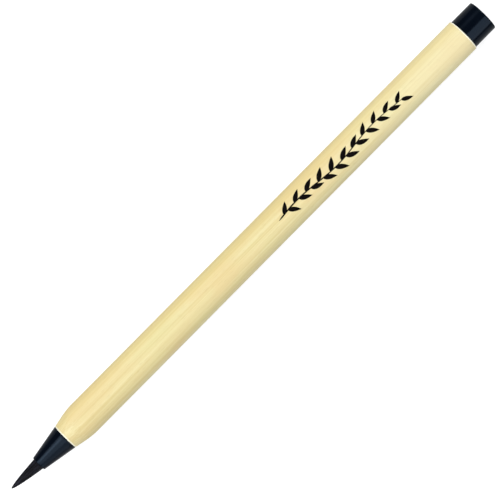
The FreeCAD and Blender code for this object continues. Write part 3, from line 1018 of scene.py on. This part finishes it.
class BRUSH_PEN_OT_print_spray(bpy.types.Operator):
    """Print a plain spray of leaves along the barrel"""

    bl_idname = "brush_pen.print_spray"
    bl_label = "Printed spray"

    def execute(self, context):
        settings = context.scene.pen_spray
        start = BRUSH_POINT + settings.start

        def stem_point(share):
            along = start + settings.length * share
            return along, settings.sway * math.sin(share * STEM_SWINGS * math.pi)

        shape = bmesh.new()
        spine = [stem_point(step / STEM_STEPS) for step in range(STEM_STEPS + 1)]
        widths = []
        for step in range(STEM_STEPS + 1):
            widths.append(settings.stem_width * (1 - STEM_THINNING * step / STEM_STEPS))
        widths[: len(STEM_START)] = [widths[0] * share for share in STEM_START]
        add_stroke(shape, spine, widths, settings.film, 2)
        for pair in range(settings.pairs):
            share = FIRST_PAIR + PAIR_RANGE * pair / max(settings.pairs - 1, 1)
            size = 1 - LEAF_SHRINK * abs(share - LARGEST_LEAF)
            curl = LEAF_CURL * math.cos(pair * CURL_STEP)
            for hand, delay, swing in LEAF_SIDES:
                leaf = leaf_stroke(
                    stem_point(min(share + delay, 1)),
                    hand * swing,
                    settings.leaf_length * size,
                    settings.leaf_width * size,
                    hand * curl,
                )
                add_stroke(shape, *leaf, settings.film)
        mesh = finish_mesh(shape, "printed_spray")
        mesh.materials.append(make_print_ink(settings))
        piece = new_piece("printed_spray", mesh)
        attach(piece, "pen")
        return {"FINISHED"}


# ---------------------------------------------------------------------------------------------------
# Sealed inner pieces
# ---------------------------------------------------------------------------------------------------


class BRUSH_PEN_OT_finish_inner_pieces(bpy.types.Operator):
    """Give the sealed inner pieces their finishes"""

    bl_idname = "brush_pen.finish_inner_pieces"
    bl_label = "Inner pieces"

    def execute(self, context):
        milky = make_natural_plastic()
        finishes = {
            "liner_tube": milky,
            "liner_stopper": milky,
            "wick_holder": milky,
            "brush_collar": milky,
            "feed_wick": make_fibre("wick_fibre", (0.05, 0.05, 0.06), (0.012, 0.012, 0.016)),
            "reservoir_fibre": make_fibre("ink_fibre", (0.07, 0.07, 0.08), (0.02, 0.02, 0.026)),
            "bristle_flange": make_fibre(
                "fused_filaments", (0.03, 0.03, 0.035), (0.01, 0.01, 0.012)
            ),
            "reservoir_film": make_film(),
        }
        for node, material in finishes.items():
            slots = frame["nodes"][node].material_slots
            if not slots:
                raise RuntimeError(f"{node} has no material slot")
            for slot in slots:
                slot.material = material
        return {"FINISHED"}


# ---------------------------------------------------------------------------------------------------
# Floor, lights and camera
# ---------------------------------------------------------------------------------------------------


# Name, place, aim, width, height and brightness. The side and top boxes make the long reflections in
# the black pieces, and the end boxes light the barrel from beyond its two ends.
SOFTBOXES = (
    ("tail_side", (0.16, -0.425, 0.44), (0.16, 0, 0), 0.26, 0.73, 1.87),
    ("tail_far_side", (0.16, 0.482, 0.508), (0.16, 0, 0), 0.26, 0.26, 0.42),
    ("nose_top", (-0.45, 0.03, 0.8), (-0.45, 0.03, 0), 0.36, 1.2, 2.2),
    ("nose_shine", (-0.45, 0.22, 0.79), (-0.45, 0.22, 0), 0.2, 0.28, 2.4),
    ("nose_side", (-0.38, -0.6, 0.41), (-0.38, 0, 0.41), 0.34, 0.78, 1.1),
    ("brush_end", (-1.0, 0.36, 0.8), (0, 0, AXIS_HEIGHT), 0.8, 0.6, 3.7),
    ("tail_end", (1.0, 0.55, 0.8), (0, 0, AXIS_HEIGHT), 0.8, 0.6, 6.0),
)
ROOM_COLOUR = (0.8, 0.92, 1, 1)
ROOM_STRENGTH = 0.2
BACKDROP_COLOUR = (0.96, 0.96, 0.96, 1)
# The point that the camera looks at, near the middle of the pen.
CAMERA_TARGET = (0.00076, 0.00008, AXIS_HEIGHT)
# Power of a light per unit of its face's area and brightness.
POWER_FACTOR = 4


def add_softbox(name, place, aim, width, height, brightness):
    """A soft rectangular light that the camera doesn't see. Its face has the given brightness at any
    size."""
    light = bpy.data.lights.new(name, "AREA")
    light.shape = "RECTANGLE"
    light.size = width
    light.size_y = height
    light.energy = POWER_FACTOR * width * height * brightness
    lamp = bpy.data.objects.new(name, light)
    lamp.location = place
    lamp.rotation_euler = (Vector(aim) - Vector(place)).to_track_quat("-Z", "Y").to_euler()
    lamp.visible_camera = False
    bpy.context.scene.collection.objects.link(lamp)


def make_studio_world():
    """A dim, slightly cool room that looks like a plain white backdrop."""
    world = bpy.data.worlds.new("studio")
    world.use_nodes = True
    tree = world.node_tree
    room = tree.nodes["Background"]
    room.inputs["Color"].default_value = ROOM_COLOUR
    room.inputs["Strength"].default_value = ROOM_STRENGTH
    backdrop = tree.nodes.new("ShaderNodeBackground")
    backdrop.inputs["Color"].default_value = BACKDROP_COLOUR
    seen = tree.nodes.new("ShaderNodeLightPath")
    choice = tree.nodes.new("ShaderNodeMixShader")
    tree.links.new(seen.outputs["Is Camera Ray"], choice.inputs["Fac"])
    tree.links.new(room.outputs["Background"], choice.inputs[1])
    tree.links.new(backdrop.outputs["Background"], choice.inputs[2])
    tree.links.new(choice.outputs["Shader"], tree.nodes["World Output"].inputs["Surface"])
    return world


class BRUSH_PEN_OT_make_stage(bpy.types.Operator):
    """Set up the floor, the lights and the camera"""

    bl_idname = "brush_pen.make_stage"
    bl_label = "Stage"

    def execute(self, context):
        settings = context.scene.pen_stage
        half = settings.floor_size / 2
        mesh = bpy.data.meshes.new("floor")
        corners = [(-half, -half, 0), (half, -half, 0), (half, half, 0), (-half, half, 0)]
        mesh.from_pydata(corners, [], [(0, 1, 2, 3)])
        mesh.materials.append(make_floor_material())
        floor = bpy.data.objects.new("floor", mesh)
        context.scene.collection.objects.link(floor)

        context.scene.world = make_studio_world()

        for softbox in SOFTBOXES:
            add_softbox(*softbox)

        camera = bpy.data.cameras.new("camera")
        camera.lens = settings.camera_lens
        camera.sensor_width = 36
        camera.clip_start = 0.01
        camera.clip_end = 100
        eye = bpy.data.objects.new("camera", camera)
        target = Vector(CAMERA_TARGET)
        backward = Vector((-math.sin(settings.tilt), 0, math.cos(settings.tilt)))
        right = Vector((math.cos(settings.turn), -math.sin(settings.turn), 0))
        right = (right - backward * right.dot(backward)).normalized()
        upward = backward.cross(right)
        eye.location = target + backward * settings.camera_distance
        rows = zip(right, upward, backward)
        eye.rotation_euler = Matrix([list(row) for row in rows]).to_euler()
        context.scene.collection.objects.link(eye)
        context.scene.camera = eye
        context.scene.view_settings.view_transform = "Standard"
        return {"FINISHED"}


# ---------------------------------------------------------------------------------------------------
# Panel and registration
# ---------------------------------------------------------------------------------------------------

OPERATORS = (
    BRUSH_PEN_OT_make_stage,
    BRUSH_PEN_OT_make_barrel,
    BRUSH_PEN_OT_make_cone,
    BRUSH_PEN_OT_make_plug,
    BRUSH_PEN_OT_make_brush,
    BRUSH_PEN_OT_print_spray,
    BRUSH_PEN_OT_finish_inner_pieces,
)

SETTINGS = {
    "pen_barrel": PenBarrelSettings,
    "pen_nose": PenNoseSettings,
    "pen_brush": PenBrushSettings,
    "pen_spray": PenSpraySettings,
    "pen_stage": PenStageSettings,
}


class BRUSH_PEN_PT_panel(bpy.types.Panel):
    """Lists the pen's operators and its sizes"""

    bl_idname = "BRUSH_PEN_PT_panel"
    bl_label = "Brush Pen"
    bl_space_type = "VIEW_3D"
    bl_region_type = "UI"
    bl_category = "Brush Pen"

    def draw(self, context):
        for operator in OPERATORS:
            self.layout.operator(operator.bl_idname)
        for name, group in SETTINGS.items():
            box = self.layout.box()
            box.label(text=group.__doc__)
            for setting in group.__annotations__:
                box.prop(getattr(context.scene, name), setting)


def register():
    for group in SETTINGS.values():
        bpy.utils.register_class(group)
    for name, group in SETTINGS.items():
        setattr(bpy.types.Scene, name, bpy.props.PointerProperty(type=group))
    for operator in OPERATORS:
        bpy.utils.register_class(operator)
    bpy.utils.register_class(BRUSH_PEN_PT_panel)


def unregister():
    bpy.utils.unregister_class(BRUSH_PEN_PT_panel)
    for operator in reversed(OPERATORS):
        bpy.utils.unregister_class(operator)
    for name in SETTINGS:
        delattr(bpy.types.Scene, name)
    for group in reversed(SETTINGS.values()):
        bpy.utils.unregister_class(group)


def main():
    """Make every piece."""
    register()
    bpy.ops.brush_pen.make_stage()
    bpy.ops.brush_pen.make_barrel()
    bpy.ops.brush_pen.make_cone()
    bpy.ops.brush_pen.make_plug()
    bpy.ops.brush_pen.make_brush()
    bpy.ops.brush_pen.print_spray()
    bpy.ops.brush_pen.finish_inner_pieces()


if __name__ == "__main__":
    main()
